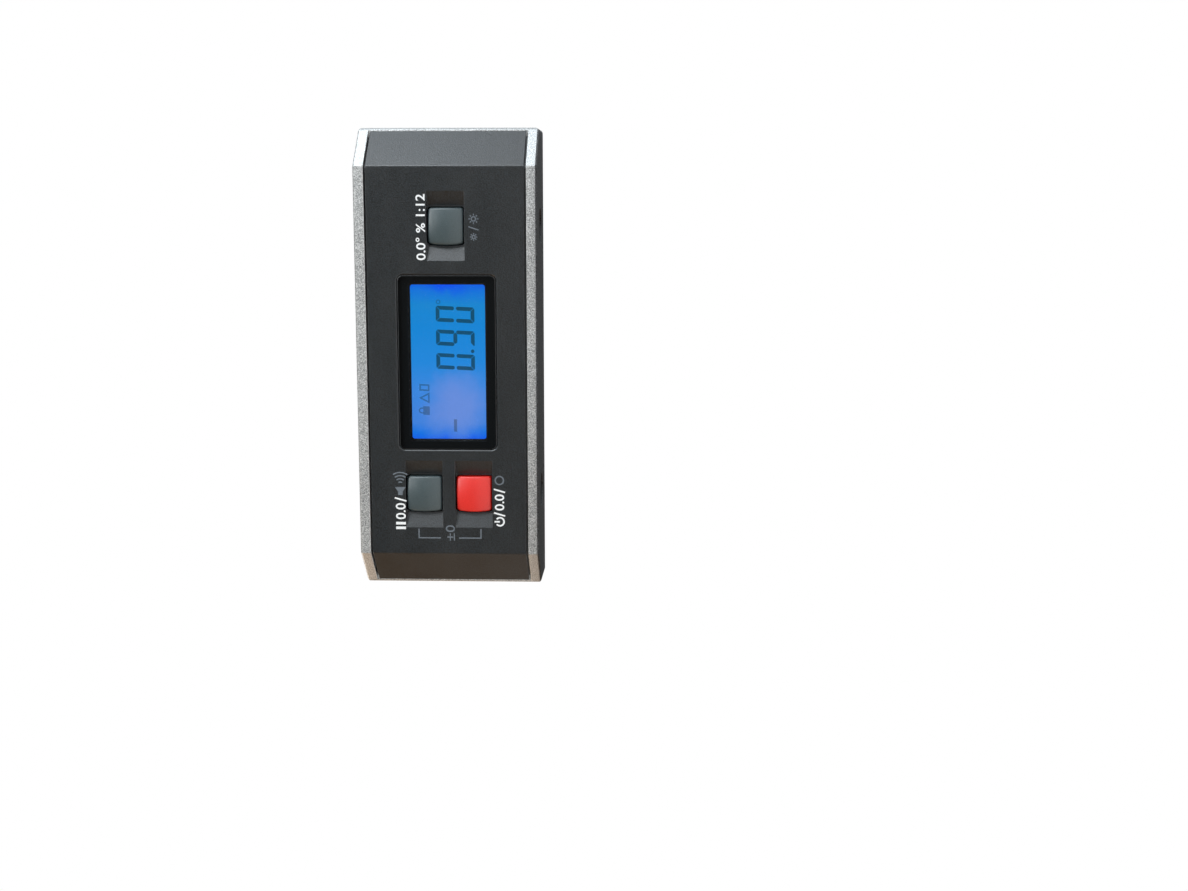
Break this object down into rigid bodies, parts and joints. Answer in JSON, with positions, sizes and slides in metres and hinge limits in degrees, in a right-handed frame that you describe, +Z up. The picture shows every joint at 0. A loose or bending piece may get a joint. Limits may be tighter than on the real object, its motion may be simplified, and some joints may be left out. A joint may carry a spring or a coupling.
{
  "type": "digital spirit level",
  "caption": "Pocket digital spirit level: aluminium ring with magnetic base, display, press buttons and a battery door behind.",
  "frame": {"origin": "middle of the flat base, where the level rests", "axes": "+X along the level, in the reading direction of the display; +Y from the display side to the back; +Z up from the base"},
  "size_m": [0.1064, 0.021, 0.0416],
  "materials": {
    "aluminium": "blasted and anodised, fine grain",
    "cover_plastic": "fine moulded texture",
    "button_grey": "satin",
    "button_red": "satin",
    "window_clear": "clear gloss",
    "mask_black": "printed black",
    "display": "lit blue",
    "light_guide": "clear",
    "inner_plastic": "matt",
    "contact_rubber": "layered",
    "board_green": "solder resist",
    "chip_black": "matt",
    "steel": "plain",
    "nickel": "nickel plated",
    "cell_wrap": "plain shrink sleeve",
    "ceramic": "glazed",
    "foam": "open foam",
    "lamp": "milky",
    "screw_black": "blackened",
    "display_ink": "dark marks of the display",
    "print_white": "printed marks",
    "print_grey": "printed marks"
  },
  "bodies": {
    "case": {"frame": "aluminium", "base_magnets": "nickel", "front_cover": "cover_plastic", "display_window": "window_clear", "window_mask": "mask_black", "lcd_glass": "display", "lcd_backlight": "light_guide", "backlight_leds": "lamp", "lcd_holder": "inner_plastic", "zebra_strip": "contact_rubber", "main_board": "board_green", "board_screws": "steel", "controller_chip": "chip_black", "tilt_sensor": "steel", "buzzer": "chip_black", "board_parts": "ceramic", "switch_bodies": "chip_black", "switch_plates": "steel", "battery_cells": "cell_wrap", "positive_contact": "nickel", "negative_contact": "nickel", "bridge_contact": "nickel", "back_cover": "cover_plastic", "cover_screws": "screw_black"},
    "units_key": {"units_button": "button_grey", "units_plunger": "inner_plastic"},
    "hold_key": {"hold_button": "button_grey", "hold_plunger": "inner_plastic"},
    "power_key": {"power_button": "button_red", "power_plunger": "inner_plastic"},
    "door": {"battery_door": "cover_plastic", "door_pad": "foam"}
  },
  "joints": [
    {"name": "units_press", "type": "slide", "parent": "case", "child": "units_key", "axis": [0, 1, 0], "range_m": [0, 0.0005], "stiffness_N_per_m": 1500},
    {"name": "hold_press", "type": "slide", "parent": "case", "child": "hold_key", "axis": [0, 1, 0], "range_m": [0, 0.0005], "stiffness_N_per_m": 1500},
    {"name": "power_press", "type": "slide", "parent": "case", "child": "power_key", "axis": [0, 1, 0], "range_m": [0, 0.0005], "stiffness_N_per_m": 1500},
    {"name": "door_hinge", "type": "hinge", "parent": "case", "child": "door", "pos_m": [-0.0268, 0.0105, 0.02075], "axis": [0, 0, 1], "range_deg": [0, 75]}
  ]
}
